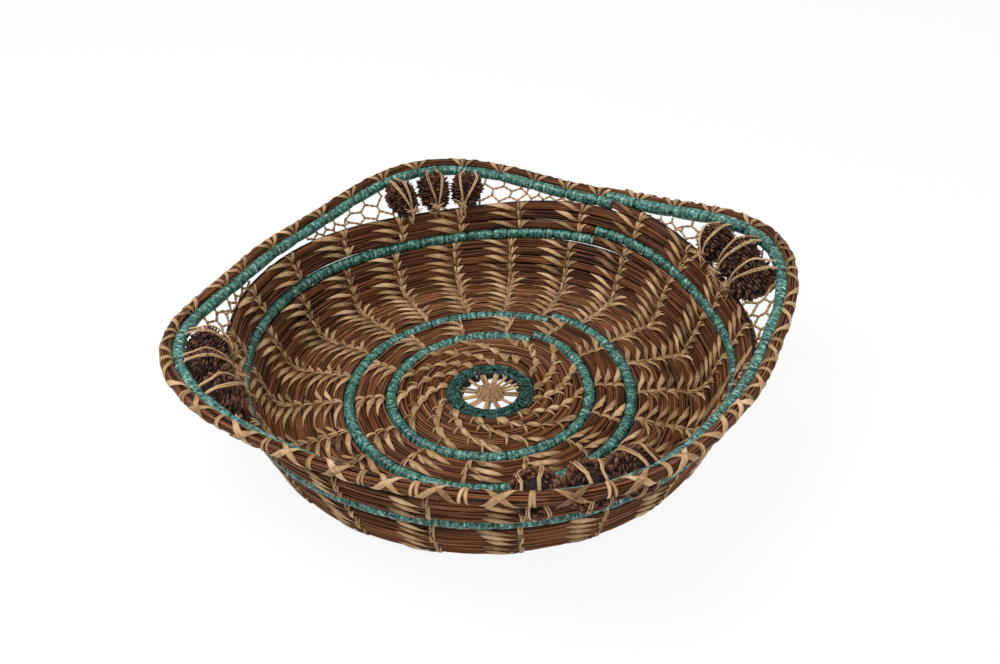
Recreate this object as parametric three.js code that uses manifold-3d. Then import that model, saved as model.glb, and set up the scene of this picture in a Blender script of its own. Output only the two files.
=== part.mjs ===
// Coiled pine-needle basket: a round bowl wound from one needle coil, with raffia-wrapped rows,
// a rim pulled out to four corners, seed cones tied into the corners and knotted netting beside them.
// Millimetres, +Z up, origin on the table under the middle of the floor.

import * as THREE from 'three';
import { mergeVertices } from 'three/addons/utils/BufferGeometryUtils.js';
import Module from 'manifold-3d';

const wasm = await Module();
wasm.setup();

// Clearances
const FIT_GAP = 0.3;
const ROW_GAP = 0.45;

// Needle coil: the bundle has a five-sided section with a flat underside
const COIL_RADIUS = 2.08;
const COIL_SIDES = 5;
const NEEDLE_ROW = 4.65;
const STEPS_PER_TURN = 24;
const SEAM_ANGLE = 93;
const SEAM_DRIFT = 0.31;
const STEP_OVER_SPAN = 60;

// Rows, counted from the middle outwards; a raffia-wrapped row closes each group
const INNER_FLOOR_ROWS = 5;
const OUTER_FLOOR_ROWS = 3;
const WALL_ROWS = 12;
const BAND_ROWS = 3;
const WRAP_WALL = 0.4;

// Bowl profile
const FLOOR_RADIUS = 94.1;
const BEND_RADIUS = 10;
const WALL_ANGLE = 70;
const WALL_SWELL = 0.055;

// Middle of the floor: a stitched ring with a woven rosette on spokes inside it
const CENTRE_RING_OUTER = 21;
const CENTRE_RING_INNER = 12;
const CENTRE_RING_HEIGHT = 4.2;
const CENTRE_RING_STITCHES = 26;
const STITCH_GROOVE = 0.35;
const ROSETTE_RADIUS = 6.9;
const ROSETTE_HEIGHT = 2.6;
const ROSETTE_SPOKES = 12;
const SPOKE_DIAMETER = 1.1;

// Rim: a wrapped coil that bows out at the corners, and a bare coil lying on its outer shoulder
const RIM_STEPS = 42;
const RIM_SIDE_GAP = 1.8;
const RIM_COIL_GAP = 0.6;
const RIM_TAIL_SIZE = 0.25;
const RIM_CORNER_POWER = 4.4;
const RIM_OFF_CENTRE_X = 1.2;
const RIM_OFF_CENTRE_Y = 0.9;

// Corners: three seed cones between the wall's top row and the rim
const CORNER_ANGLES = [41.5, 131, 228.7, 313.5];
const CORNER_LEAN = 43.5;
const CONES_PER_CORNER = 3;
const CONE_LENGTH = 21.5;
const CONE_DIAMETER = 18;
const CONE_END_RADIUS = 4.5;
const CONE_GAP = 0.5;
const CONE_FAN = 0.16;
const CONE_SIDES = 10;
const CONE_SCALE_ROWS = 6;
const CONE_PIT = 0.9;

// Netting beside the cones
const NET_THREAD = 0.9;
const NET_COLUMNS = 5;
const NET_END_ANGLE = 31;
const NET_LEAST_GAP = 3.4;
const NET_LOW_KNOT = 0.33;
const NET_HIGH_KNOT = 0.64;

// Raffia stitch columns on the inside of the wall
const STITCH_COLUMNS = 21;
const STITCH_FIRST_ANGLE = 7.2;
const STITCH_SPINE = 1.6;
const STITCH_BLADE = 6.2;
const STITCH_THICKNESS = 0.8;

const rad = THREE.MathUtils.degToRad;
const { lerp, smoothstep } = THREE.MathUtils;

const NEEDLE_BROWN = new THREE.MeshStandardMaterial({ color: 0x6b4030, roughness: 0.6 });
const RAFFIA_TEAL = new THREE.MeshStandardMaterial({ color: 0x3d7d72, roughness: 0.45 });
const RAFFIA_GREEN = new THREE.MeshStandardMaterial({ color: 0x2c5548, roughness: 0.6 });
const RAFFIA_TAN = new THREE.MeshStandardMaterial({ color: 0xb18a55, roughness: 0.55 });
const CONE_BROWN = new THREE.MeshStandardMaterial({ color: 0x3b271d, roughness: 0.8 });

const basket = new THREE.Group();

function addPiece(name, geometry, material) {
  const piece = new THREE.Mesh(geometry, material);
  piece.name = name;
  basket.add(piece);
}

// Closed solid from rings of points, each ring joined to the next and the two ends capped.
// Two loops of equal count, outer and inner, make a sleeve; one loop makes a bar.
function loft(outer, inner) {
  const loops = inner ? [outer, inner] : [outer];
  const count = outer[0].length;
  const last = outer.length - 1;
  const points = loops.flat(2);
  const at = (loop, ring, corner) => (loop * outer.length + ring) * count + (corner % count);
  const faces = [];
  const quad = (a, b, c, d) => faces.push(a, c, b, b, c, d);
  loops.forEach((rings, loop) => {
    for (let ring = 0; ring < last; ring++) {
      for (let corner = 0; corner < count; corner++) {
        const near = [at(loop, ring, corner), at(loop, ring, corner + 1)];
        const far = [at(loop, ring + 1, corner), at(loop, ring + 1, corner + 1)];
        if (loop === 0) quad(...near, ...far);
        else quad(...far, ...near);
      }
    }
  });
  for (let corner = 0; corner < count; corner++) {
    if (inner) {
      quad(at(1, 0, corner), at(1, 0, corner + 1), at(0, 0, corner), at(0, 0, corner + 1));
      quad(at(0, last, corner), at(0, last, corner + 1), at(1, last, corner), at(1, last, corner + 1));
    } else if (corner > 0 && corner < count - 1) {
      faces.push(at(0, 0, 0), at(0, 0, corner), at(0, 0, corner + 1));
      faces.push(at(0, last, 0), at(0, last, corner + 1), at(0, last, corner));
    }
  }
  const geometry = new THREE.BufferGeometry().setFromPoints(points);
  geometry.setIndex(faces);
  return geometry;
}

// One solid from several overlapping closed geometries
function fuse(geometries) {
  const solids = geometries.map((geometry) => {
    geometry.deleteAttribute('normal');
    geometry.deleteAttribute('uv');
    const merged = mergeVertices(geometry, 1e-4);
    const mesh = new wasm.Mesh({
      numProp: 3,
      vertProperties: new Float32Array(merged.attributes.position.array),
      triVerts: new Uint32Array(merged.index.array),
    });
    return new wasm.Manifold(mesh);
  });
  const mesh = solids.reduce((whole, solid) => whole.add(solid)).getMesh();
  const geometry = new THREE.BufferGeometry();
  geometry.setAttribute('position', new THREE.BufferAttribute(mesh.vertProperties, 3));
  geometry.setIndex(new THREE.BufferAttribute(mesh.triVerts, 1));
  return geometry;
}

// Three-sided thread through a row of points
function thread(points, diameter) {
  const rings = points.map((point, index) => {
    const before = points[Math.max(index - 1, 0)];
    const after = points[Math.min(index + 1, points.length - 1)];
    const along = after.clone().sub(before).normalize();
    const across = new THREE.Vector3(0, 0, 1).cross(along).normalize();
    const up = across.clone().cross(along);
    return [0, 1, 2].map((corner) => {
      const angle = (2 * Math.PI * corner) / 3;
      return point.clone()
        .addScaledVector(across, (diameter / 2) * Math.cos(angle))
        .addScaledVector(up, (diameter / 2) * Math.sin(angle));
    });
  });
  return loft(rings);
}

// Coil section: corners from the middle of the bundle, flat side down, grown by a clearance or a wall
const FLAT_SHARE = Math.cos(Math.PI / COIL_SIDES);
const COIL_FLAT = COIL_RADIUS * FLAT_SHARE;
const halfWidth = (grow) => (COIL_RADIUS + grow / FLAT_SHARE) * Math.sin((2 * Math.PI) / COIL_SIDES);
const WRAP_GROW = FIT_GAP + WRAP_WALL;
const WRAP_SPACING = halfWidth(0) + halfWidth(WRAP_GROW) + ROW_GAP;

function sectionRing(centre, across, up, grow = 0, size = 1) {
  const reach = (COIL_RADIUS + grow / FLAT_SHARE) * size;
  return Array.from({ length: COIL_SIDES }, (_, corner) => {
    const angle = Math.PI / 2 + (2 * Math.PI * corner) / COIL_SIDES;
    return centre.clone()
      .addScaledVector(across, reach * Math.cos(angle))
      .addScaledVector(up, reach * Math.sin(angle));
  });
}

// Turn numbers of the wrapped rows and of the last row under the rim
const RING_1 = INNER_FLOOR_ROWS;
const RING_2 = RING_1 + 1 + OUTER_FLOOR_ROWS;
const RING_3 = RING_2 + 1 + WALL_ROWS;
const LAST_ROW = RING_3 + BAND_ROWS;
const RINGS = [RING_1, RING_2, RING_3];
const STEP_TURN = STEP_OVER_SPAN / 360;
const FIRST_ROW_RADIUS = CENTRE_RING_OUTER + FIT_GAP + halfWidth(0);
const RIM_SPACING = halfWidth(0) + halfWidth(WRAP_GROW) + RIM_SIDE_GAP;

// Each row runs level and steps out to the next one just before the seam
const stepOver = (part) => smoothstep(part, 1 - STEP_TURN, 1);
const swelling = (turn, from, to) =>
  smoothstep(turn, from - STEP_TURN, from) * (1 - smoothstep(turn, to, to + STEP_TURN));

function rowSpacing(turn) {
  const wrap = Math.max(...RINGS.map((ring) => swelling(turn, ring - 1, ring + 1)));
  const rim = smoothstep(turn, LAST_ROW - STEP_TURN, LAST_ROW);
  return NEEDLE_ROW + (WRAP_SPACING - NEEDLE_ROW) * wrap + (RIM_SPACING - NEEDLE_ROW) * rim;
}

// Distance of a turn from the middle, measured along the bowl's profile
function rowPlace(turn) {
  const rows = Math.floor(turn);
  const part = turn - rows;
  let place = FIRST_ROW_RADIUS + NEEDLE_ROW * stepOver(part);
  for (let row = 0; row < rows; row++) place += rowSpacing(part + row);
  return place;
}

// Angle between a place on the wall and the corner nearest to it
const CORNERS = CORNER_ANGLES.length;
function fromCorner(angle) {
  const turns = CORNER_ANGLES.map((corner) => (angle - rad(corner)) / (2 * Math.PI));
  return 2 * Math.PI * Math.min(...turns.map((turn) => Math.abs(turn - Math.round(turn))));
}

// Bowl profile: flat floor, round bend, leaning wall, which stands taller between the corners.
// A tilted row stays up on its lowest corner, so that none dips under the floor.
function bowlPlace(place, aside) {
  const wall = rad(WALL_ANGLE);
  const past = Math.max(0, place - FLOOR_RADIUS);
  const tilt = Math.min(past / BEND_RADIUS, wall);
  const swell = 1 - WALL_SWELL * Math.cos(CORNERS * aside);
  const straight = Math.max(0, past - BEND_RADIUS * wall) * swell;
  const radius = Math.min(place, FLOOR_RADIUS) + BEND_RADIUS * Math.sin(tilt) + straight * Math.cos(tilt);
  const rest = COIL_FLAT * Math.cos(tilt) + COIL_RADIUS * Math.sin(Math.PI / COIL_SIDES) * Math.sin(tilt);
  const bend = COIL_FLAT + BEND_RADIUS * (1 - Math.cos(tilt));
  const height = Math.max(rest, bend) + straight * Math.sin(tilt);
  return { radius, height, tilt };
}

const outward = (angle, radius, height) =>
  new THREE.Vector3(radius * Math.cos(angle), radius * Math.sin(angle), height);

// Wrapped rows on the floor are raised by their wrap, so that the underside stays level
const wrapLift = (turn) =>
  WRAP_GROW * Math.max(swelling(turn, RING_1, RING_1 + 1), swelling(turn, RING_2, RING_2 + 1));

// The seam where the rows step out creeps back a little with every row
const seamAngle = (turn) => rad(SEAM_ANGLE - SEAM_DRIFT * turn);

function coilFrame(turn) {
  const angle = seamAngle(turn) + 2 * Math.PI * turn;
  const { radius, height, tilt } = bowlPlace(rowPlace(turn), fromCorner(angle));
  return {
    centre: outward(angle, radius, height + wrapLift(turn)),
    across: outward(angle, Math.cos(tilt), Math.sin(tilt)),
    up: outward(angle, -Math.sin(tilt), Math.cos(tilt)),
  };
}

function turnSteps(from, to, steps) {
  const inside = [];
  for (let step = Math.ceil(from * steps + 0.01); step < to * steps - 0.01; step++) inside.push(step / steps);
  return [from, ...inside, to];
}

const coilRings = (turns, grow) =>
  turns.map((turn) => {
    const { centre, across, up } = coilFrame(turn);
    return sectionRing(centre, across, up, grow);
  });

// Least gap of a wound coil to itself, between the edge points of each turn and the next
function leastGap(rings, stepsPerTurn) {
  let least = Infinity;
  for (let ring = 0; ring + stepsPerTurn < rings.length; ring++) {
    const ahead = rings.slice(ring + stepsPerTurn - 1, ring + stepsPerTurn + 2).flat();
    for (const point of rings[ring]) {
      for (const other of ahead) least = Math.min(least, point.distanceTo(other));
    }
  }
  return least;
}

function addCoil(name, rings, stepsPerTurn) {
  addPiece(name, loft(rings), NEEDLE_BROWN);
  console.log(`${name}: least gap to itself ${leastGap(rings, stepsPerTurn).toFixed(2)} mm`);
}

// The coil is cut at the end of the second wrapped row and at the rim, face to face
const endGap = (turn) => FIT_GAP / (2 * Math.PI * coilFrame(turn).centre.length());
const FLOOR_TURNS = RING_2 + 1;
addCoil('needle_coil_floor', coilRings(turnSteps(0, FLOOR_TURNS, STEPS_PER_TURN)), STEPS_PER_TURN);
const wallStart = FLOOR_TURNS + endGap(FLOOR_TURNS);
addCoil('needle_coil_wall', coilRings(turnSteps(wallStart, LAST_ROW + 1, STEPS_PER_TURN)), STEPS_PER_TURN);

// Raffia wraps: sleeves round one whole turn of the coil
RINGS.forEach((ring, index) => {
  const turns = turnSteps(ring + endGap(ring), ring + 1 - endGap(ring), STEPS_PER_TURN);
  const sleeve = loft(coilRings(turns, WRAP_GROW), coilRings(turns, FIT_GAP));
  addPiece(`ring_wrap_${index + 1}`, sleeve, RAFFIA_TEAL);
});

// Centre ring: blanket-stitched, so its surface is grooved between the stitches
function centreRing() {
  const middle = (CENTRE_RING_OUTER + CENTRE_RING_INNER) / 2;
  const half = (CENTRE_RING_OUTER - CENTRE_RING_INNER) / 2;
  const high = CENTRE_RING_HEIGHT / 2;
  const upper = [[half, 0], [half / 2, high], [-half / 2, high]];
  const outline = [...upper, ...upper.map(([out, rise]) => [-out, -rise])];
  const sides = outline.length;
  const points = [];
  const faces = [];
  const segments = 2 * CENTRE_RING_STITCHES;
  for (let segment = 0; segment < segments; segment++) {
    const angle = (2 * Math.PI * segment) / segments;
    const groove = segment % 2 ? STITCH_GROOVE : 0;
    outline.forEach(([out, rise], side) => {
      const inwards = 1 - groove / half;
      const dip = rise > 0 ? groove : 0;
      points.push(outward(angle, middle + out * inwards, high + rise - dip));
      const next = (side + 1) % sides;
      const ahead = ((segment + 1) % segments) * sides;
      const [a, b, c, d] = [segment * sides + side, segment * sides + next, ahead + side, ahead + next];
      faces.push(a, c, b, b, c, d);
    });
  }
  const geometry = new THREE.BufferGeometry().setFromPoints(points);
  geometry.setIndex(faces);
  return geometry;
}
addPiece('centre_ring', centreRing(), RAFFIA_GREEN);

// Rosette: a woven disc held in the ring by raffia spokes
function rosette() {
  const rise = CENTRE_RING_HEIGHT / 2;
  const half = ROSETTE_HEIGHT / 2;
  const profile = [
    new THREE.Vector2(0, rise - half),
    new THREE.Vector2(ROSETTE_RADIUS - half, rise - half),
    new THREE.Vector2(ROSETTE_RADIUS, rise),
    new THREE.Vector2(ROSETTE_RADIUS - half, rise + half),
    new THREE.Vector2(0, rise + half),
  ];
  const disc = new THREE.LatheGeometry(profile, 2 * ROSETTE_SPOKES).rotateX(Math.PI / 2);
  const pieces = [disc];
  for (let spoke = 0; spoke < ROSETTE_SPOKES; spoke++) {
    const angle = (2 * Math.PI * (spoke + 0.5)) / ROSETTE_SPOKES;
    const ends = [ROSETTE_RADIUS - half, CENTRE_RING_INNER - FIT_GAP];
    pieces.push(thread(ends.map((radius) => outward(angle, radius, rise)), SPOKE_DIAMETER));
  }
  return fuse(pieces);
}
addPiece('centre_rosette', rosette(), RAFFIA_TAN);

// Rim line: a rounded square in plan, highest and furthest out at the corners. It passes just over
// the wall between the corners, and a cone's length from the wall's top row at each corner.
const rimSide = bowlPlace(rowPlace(LAST_ROW) + RIM_SPACING, Math.PI / CORNERS);
const wallCorner = bowlPlace(rowPlace(LAST_ROW), 0);
const CORNER_REACH = COIL_RADIUS + FIT_GAP + CONE_LENGTH + FIT_GAP + COIL_RADIUS + WRAP_GROW / FLAT_SHARE;
const rimCorner = {
  radius: wallCorner.radius + CORNER_REACH * Math.cos(rad(CORNER_LEAN)),
  height: wallCorner.height + CORNER_REACH * Math.sin(rad(CORNER_LEAN)),
};

const RIM_MIDDLE = new THREE.Vector3(RIM_OFF_CENTRE_X, RIM_OFF_CENTRE_Y, 0);
function rimLine(angle) {
  const corner = Math.max(0, Math.cos((CORNERS / 2) * fromCorner(angle))) ** RIM_CORNER_POWER;
  const offCentre = outward(angle, 1, 0).dot(RIM_MIDDLE);
  const radius = lerp(rimSide.radius, rimCorner.radius, corner) + offCentre;
  return outward(angle, radius, lerp(rimSide.height, rimCorner.height, corner));
}

function rimNormal(angle) {
  const small = 1e-3;
  const along = rimLine(angle + small).sub(rimLine(angle - small));
  return new THREE.Vector3(along.y, -along.x, 0).normalize();
}

// The rim coil makes two turns, inside the wrap and then bare on the wrap's upper outer face.
// Its tail tapers off where the first turn steps out into its place.
const TAIL_END = 2 - STEP_TURN / 2;
const RIM_SEAM = seamAngle(LAST_ROW + 1);
const RIM_LEAN = Math.PI / 2 - Math.PI / COIL_SIDES;
const ON_WRAP = COIL_FLAT + WRAP_GROW + RIM_COIL_GAP;
function rimRing(turn, grow) {
  const row = turn > 1 ? 1 : 0;
  const size = lerp(1, RIM_TAIL_SIZE, smoothstep(turn, 2 - STEP_TURN, TAIL_END));
  const beside = row * (ON_WRAP + COIL_RADIUS * size);
  const reach = (ON_WRAP + COIL_RADIUS) * stepOver(turn - row) + beside;
  const angle = RIM_SEAM + 2 * Math.PI * turn;
  const normal = rimNormal(angle);
  const up = new THREE.Vector3(0, 0, 1);
  const centre = rimLine(angle)
    .addScaledVector(normal, reach * Math.cos(RIM_LEAN))
    .addScaledVector(up, reach * Math.sin(RIM_LEAN));
  return sectionRing(centre, normal, up, grow, size);
}

const rimGap = FIT_GAP / (2 * Math.PI * rimSide.radius);
const rimTurns = turnSteps(rimGap, TAIL_END, RIM_STEPS);
addCoil('rim_coil', rimTurns.map((turn) => rimRing(turn)), RIM_STEPS);
const wrapTurns = turnSteps(2 * rimGap, 1 - rimGap, RIM_STEPS);
addPiece(
  'rim_wrap',
  loft(wrapTurns.map((turn) => rimRing(turn, WRAP_GROW)), wrapTurns.map((turn) => rimRing(turn, FIT_GAP))),
  RAFFIA_TEAL,
);

// A line of the coil is straight between its steps: the point of that chord at an angle
function onChord(line, steps, seam, angle) {
  const rowEnd = 1 - 1e-9;
  const round = THREE.MathUtils.euclideanModulo(angle - seam, 2 * Math.PI);
  const part = Math.min(round / (2 * Math.PI - rad(SEAM_DRIFT)), rowEnd);
  const step = Math.floor(part * steps);
  return line(step / steps).lerp(line(Math.min((step + 1) / steps, rowEnd)), part * steps - step);
}

// Seats for what is tied into the corners: just clear of the wall's top row and of the rim's wrap
const topRow = (angle) =>
  onChord((part) => coilFrame(LAST_ROW + part).centre, STEPS_PER_TURN, seamAngle(LAST_ROW), angle);
const rimInside = (angle) =>
  onChord((part) => rimLine(RIM_SEAM + 2 * Math.PI * part), RIM_STEPS, RIM_SEAM, angle);

// A flat end that meets its row at a slant stands off by its own half width
function standOff(along, line, angle, endRadius) {
  const small = 1e-3;
  const run = line(angle + small).sub(line(angle - small)).normalize();
  return FIT_GAP + endRadius * Math.tan(Math.asin(Math.abs(along.dot(run))));
}

function seats(lowAngle, highAngle, endRadius) {
  const low = topRow(lowAngle);
  const high = rimInside(highAngle);
  const along = high.clone().sub(low).normalize();
  const lowGap = COIL_RADIUS + standOff(along, topRow, lowAngle, endRadius);
  const highGap = COIL_RADIUS + WRAP_GROW / FLAT_SHARE + standOff(along, rimInside, highAngle, endRadius);
  return { low: low.addScaledVector(along, lowGap), high: high.addScaledVector(along, -highGap) };
}

// Seed cone: a barrel whose scales stand in staggered rows round it
function seedCone(low, high) {
  const length = low.distanceTo(high);
  const radius = CONE_DIAMETER / 2;
  const rings = [];
  for (let row = 0; row <= CONE_SCALE_ROWS; row++) {
    const along = row / CONE_SCALE_ROWS;
    const girth = lerp(radius, CONE_END_RADIUS, (2 * along - 1) ** 2);
    const ring = [];
    for (let side = 0; side < CONE_SIDES; side++) {
      const angle = (2 * Math.PI * side) / CONE_SIDES;
      const reach = girth - ((side + row) % 2 ? CONE_PIT : 0);
      ring.push(new THREE.Vector3(reach * Math.cos(angle), along * length, reach * Math.sin(angle)));
    }
    rings.push(ring);
  }
  const axis = high.clone().sub(low).normalize();
  const turn = new THREE.Quaternion().setFromUnitVectors(new THREE.Vector3(0, 1, 0), axis);
  return loft(rings).applyQuaternion(turn).translate(low.x, low.y, low.z);
}

// Netting: a zigzag of knots, tied down to the wall and up to the rim by turns. It runs from the
// outer cone to where the rim has come close to the wall.
function netting(corner, side, coneEdge) {
  const place = (low, high) => seats(corner + side * low, corner + side * high, NET_THREAD / 2);
  const openAt = (angle) => {
    const { low, high } = place(angle, angle);
    return low.distanceTo(high) > NET_LEAST_GAP;
  };
  let end = rad(NET_END_ANGLE);
  while (!openAt(end)) end -= rad(1);
  const ties = [];
  for (let column = 0; column <= NET_COLUMNS; column++) {
    const along = column / NET_COLUMNS;
    const { low, high } = place(lerp(coneEdge.low, end, along), lerp(coneEdge.high, end, along));
    const down = column % 2 === 0;
    const knot = low.clone().lerp(high, down ? NET_LOW_KNOT : NET_HIGH_KNOT);
    ties.push([knot, down ? low : high]);
  }
  const zigzag = ties.map(([knot]) => knot);
  return fuse([zigzag, ...ties].map((points) => thread(points, NET_THREAD)));
}

const coneStep = (CONE_DIAMETER + CONE_GAP) / ((wallCorner.radius + rimCorner.radius) / 2);
const coneEdge = {
  low: (coneStep * (CONES_PER_CORNER - 1) * (1 - CONE_FAN)) / 2 + coneStep / 2,
  high: (coneStep * (CONES_PER_CORNER - 1) * (1 + CONE_FAN)) / 2 + coneStep / 2,
};
for (let corner = 0; corner < CORNERS; corner++) {
  const cornerAngle = rad(CORNER_ANGLES[corner]);
  for (let cone = 0; cone < CONES_PER_CORNER; cone++) {
    const offset = (cone - (CONES_PER_CORNER - 1) / 2) * coneStep;
    const [lowAngle, highAngle] = [1 - CONE_FAN, 1 + CONE_FAN].map((fan) => cornerAngle + offset * fan);
    const { low, high } = seats(lowAngle, highAngle, CONE_END_RADIUS);
    addPiece(`seed_cone_${corner + 1}_${cone + 1}`, seedCone(low, high), CONE_BROWN);
  }
  addPiece(`corner_net_${corner + 1}_right`, netting(cornerAngle, 1, coneEdge), RAFFIA_TAN);
  addPiece(`corner_net_${corner + 1}_left`, netting(cornerAngle, -1, coneEdge), RAFFIA_TAN);
}

// Place over the rows at a whole or half row number
function rowSurface(row, angle, height) {
  const over = (whole) =>
    onChord((part) => {
      const { centre, up } = coilFrame(whole + part);
      return centre.addScaledVector(up, height);
    }, STEPS_PER_TURN, seamAngle(whole), angle);
  const whole = Math.floor(row);
  return over(whole).lerp(over(whole + 1), row - whole);
}

// Stitch column: a raffia spine up the wall with one slanting blade on every row
function stitchColumn(column) {
  const spine = rad(STITCH_FIRST_ANGLE) + (2 * Math.PI * column) / STITCH_COLUMNS;
  const rings = [];
  for (let half = 0; half <= 2 * (WALL_ROWS - 1); half++) {
    const row = RING_2 + 1 + half / 2;
    const blade = half % 2 === 0 ? STITCH_BLADE : STITCH_SPINE / 2;
    const radius = Math.min(rowPlace(row), FLOOR_RADIUS);
    const low = COIL_RADIUS + FIT_GAP;
    rings.push([
      rowSurface(row, spine - STITCH_SPINE / 2 / radius, low),
      rowSurface(row, spine, low + STITCH_THICKNESS),
      rowSurface(row, spine + blade / radius, low),
    ]);
  }
  return loft(rings);
}
for (let column = 0; column < STITCH_COLUMNS; column++) {
  addPiece(`stitch_column_${column + 1}`, stitchColumn(column), RAFFIA_TAN);
}

export default basket;
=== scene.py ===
import math

import bpy
import numpy as np
from mathutils import Matrix, Vector


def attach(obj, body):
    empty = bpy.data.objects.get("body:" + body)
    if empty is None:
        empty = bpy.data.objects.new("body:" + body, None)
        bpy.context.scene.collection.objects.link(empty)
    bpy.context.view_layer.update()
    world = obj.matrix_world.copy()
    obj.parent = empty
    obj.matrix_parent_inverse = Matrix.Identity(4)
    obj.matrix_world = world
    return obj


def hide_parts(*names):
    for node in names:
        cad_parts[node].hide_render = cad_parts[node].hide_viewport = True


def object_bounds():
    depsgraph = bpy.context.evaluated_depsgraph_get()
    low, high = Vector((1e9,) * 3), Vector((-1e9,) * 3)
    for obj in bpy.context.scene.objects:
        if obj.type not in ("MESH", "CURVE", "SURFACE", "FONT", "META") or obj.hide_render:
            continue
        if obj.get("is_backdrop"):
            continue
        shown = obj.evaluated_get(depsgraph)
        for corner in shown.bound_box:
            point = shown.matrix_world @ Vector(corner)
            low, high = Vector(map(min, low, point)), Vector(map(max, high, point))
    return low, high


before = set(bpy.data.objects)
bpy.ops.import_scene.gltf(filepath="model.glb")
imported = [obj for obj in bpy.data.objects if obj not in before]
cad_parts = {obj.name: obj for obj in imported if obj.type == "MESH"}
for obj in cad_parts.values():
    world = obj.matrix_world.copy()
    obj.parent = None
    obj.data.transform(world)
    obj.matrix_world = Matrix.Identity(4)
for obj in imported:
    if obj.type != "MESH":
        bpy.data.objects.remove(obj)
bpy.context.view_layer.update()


# Centre ring: a short core of needles covered all round with dark green raffia, its top closed with
# four rows of blanket stitches. It is made first, and the coil grows from it.
MM = 0.001
RING_MIDDLE, RING_HALF_WIDTH, RING_HALF_HEIGHT, RING_LEVEL = 17.55, 3.1, 2.1, 2.75
RING_FOOT, RING_SQUARENESS, RING_OVERLAP = 0.85, 0.6, 0.25
RING_WINDINGS, WINDING_SPREAD, WINDING_THICKNESS, WINDING_SHADES = 58, 1.05, 0.8, (0.1, 0.5)
EDGE_ROWS, EDGE_STITCHES, EDGE_SPAN, EDGE_SLANT = (0.08, 0.3, 0.53, 0.74), 40, 1.15, 0.34
EDGE_ENDS, EDGE_SWELL, EDGE_THICKNESS, EDGE_SHADES = 0.4, 1.2, 0.9, (0.2, 0.8)
STRIP_ACROSS = np.array([-0.5, -0.28, 0.28, 0.5, 0.28, -0.28])[None, :, None]
STRIP_RAISED = np.array([0.0, 0.6, 0.6, 0.0, -0.4, -0.4])[None, :, None]
GREEN_STOPS = ((0.0, (2, 13, 11)), (0.35, (13, 50, 43)), (0.7, (34, 88, 77)), (1.0, (92, 156, 142)))


def unit(vectors):
    return vectors / np.linalg.norm(vectors, axis=-1, keepdims=True)


def around_axis(angle, radius, height):
    return np.stack(np.broadcast_arrays(radius * np.cos(angle), radius * np.sin(angle), height), -1)


def squared(angle, power):
    """Place on a round section that is pulled a little square."""
    flat, high = np.cos(angle), np.sin(angle)
    return np.sign(flat) * np.abs(flat) ** power, np.sign(high) * np.abs(high) ** power


def ribbon(points, face, width, thickness):
    """Rings round a flat strip that follows points, its broad side towards face."""
    along = unit(np.gradient(points, axis=0))
    side = unit(np.cross(along, face))
    face = np.cross(side, along)
    width = np.broadcast_to(width, len(points))[:, None, None]
    thickness = np.broadcast_to(thickness, len(points))[:, None, None]
    return points[:, None] + side[:, None] * STRIP_ACROSS * width + face[:, None] * STRIP_RAISED * thickness


def length_along(points):
    steps = np.linalg.norm(np.diff(points, axis=0), axis=-1)
    return np.concatenate([[0.0], np.cumsum(steps)])


def sewn_mesh(name, strips, finish):
    """One object from closed strips, each (rings of points in mm, shade): UV is across and along it."""
    points, faces, places, shades, base = [], [], [], [], 0
    for rings, shade in strips:
        count, sides = rings.shape[:2]
        run = length_along(rings.mean(1))
        across = 1 - np.abs(1 - 2 * np.arange(sides) / sides)
        shade = np.reshape(shade, np.shape(shade) + (1,) * (2 - np.ndim(shade)))
        shade = np.broadcast_to(shade, (count, sides))
        middle = rings[count // 2] - rings[count // 2].mean(0)
        area = np.cross(middle, np.roll(middle, -1, axis=0)).sum(0)
        if area @ (rings[count // 2].mean(0) - rings[count // 2 - 1].mean(0)) < 0:
            rings, shade, across = rings[:, ::-1], shade[:, ::-1], across[::-1]
        corner = np.arange(sides)
        ahead = (corner + 1) % sides
        row = np.arange(count - 1)[:, None] * sides
        walls = np.stack([row + corner, row + ahead, row + ahead + sides, row + corner + sides], -1)
        pair = np.arange(sides // 2 - 1)
        cap = np.stack([pair, pair + 1, sides - 2 - pair, sides - 1 - pair], -1)
        caps = cap[:, ::-1], cap + (count - 1) * sides
        faces.append(np.concatenate([walls.reshape(-1, 4), *caps]) + base)
        points.append(rings.reshape(-1, 3))
        places.append(np.stack(np.broadcast_arrays(across[None, :], run[:, None]), -1).reshape(-1, 2))
        shades.append(shade.reshape(-1))
        base += count * sides
    faces = np.concatenate(faces)
    mesh = bpy.data.meshes.new(name)
    mesh.from_pydata(np.concatenate(points) * MM, [], faces)
    mesh.shade_smooth()
    corners = np.concatenate(places)[faces.ravel()].astype(np.float32)
    mesh.uv_layers.new(name="strip").data.foreach_set("uv", corners.ravel())
    tints = np.concatenate(shades).astype(np.float32)
    mesh.attributes.new("shade", "FLOAT", "POINT").data.foreach_set("value", tints)
    mesh.materials.append(finish)
    piece = bpy.data.objects.new(name, mesh)
    bpy.context.scene.collection.objects.link(piece)
    return piece


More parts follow.
